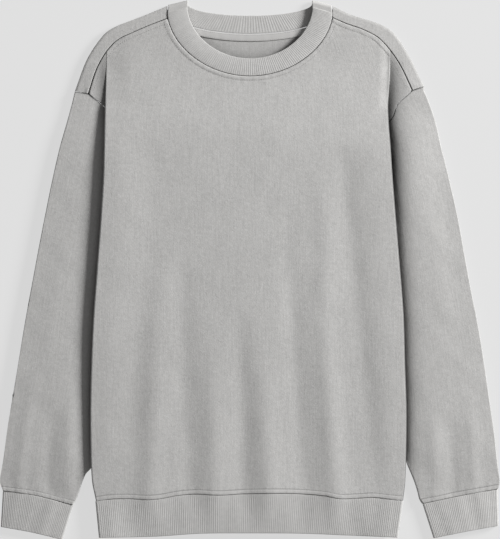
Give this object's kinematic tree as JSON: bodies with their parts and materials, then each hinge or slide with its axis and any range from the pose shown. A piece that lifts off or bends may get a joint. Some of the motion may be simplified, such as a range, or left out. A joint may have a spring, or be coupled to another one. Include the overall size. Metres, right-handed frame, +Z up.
{
  "type": "crewneck sweatshirt",
  "caption": "Crewneck sweatshirt in light grey brushed fleece, laid flat face up, with ribbed collar, cuffs and waistband, its sides and sleeves tucked under the front.",
  "frame": {"origin": "bottom centre of the garment's bounding box, on the surface it lies on", "axes": "+Y from hem to collar, +X to the right of the picture (the garment's left sleeve), +Z up from the surface"},
  "size_m": [0.6605, 0.7107, 0.0206],
  "materials": {
    "fleece": "brushed light grey melange cotton fleece, matte, with a faint nap and fine vertical knit lines",
    "rib": "light grey rib knit, matte",
    "tape": "light grey jersey tape, matte"
  },
  "bodies": {
    "root": {"front": "fleece", "back": "fleece", "sleeve_left": "fleece", "sleeve_right": "fleece", "cuff_left": "rib", "cuff_right": "rib", "waistband": "rib", "neck_rib": "rib", "neck_tape": "tape"}
  },
  "joints": []
}
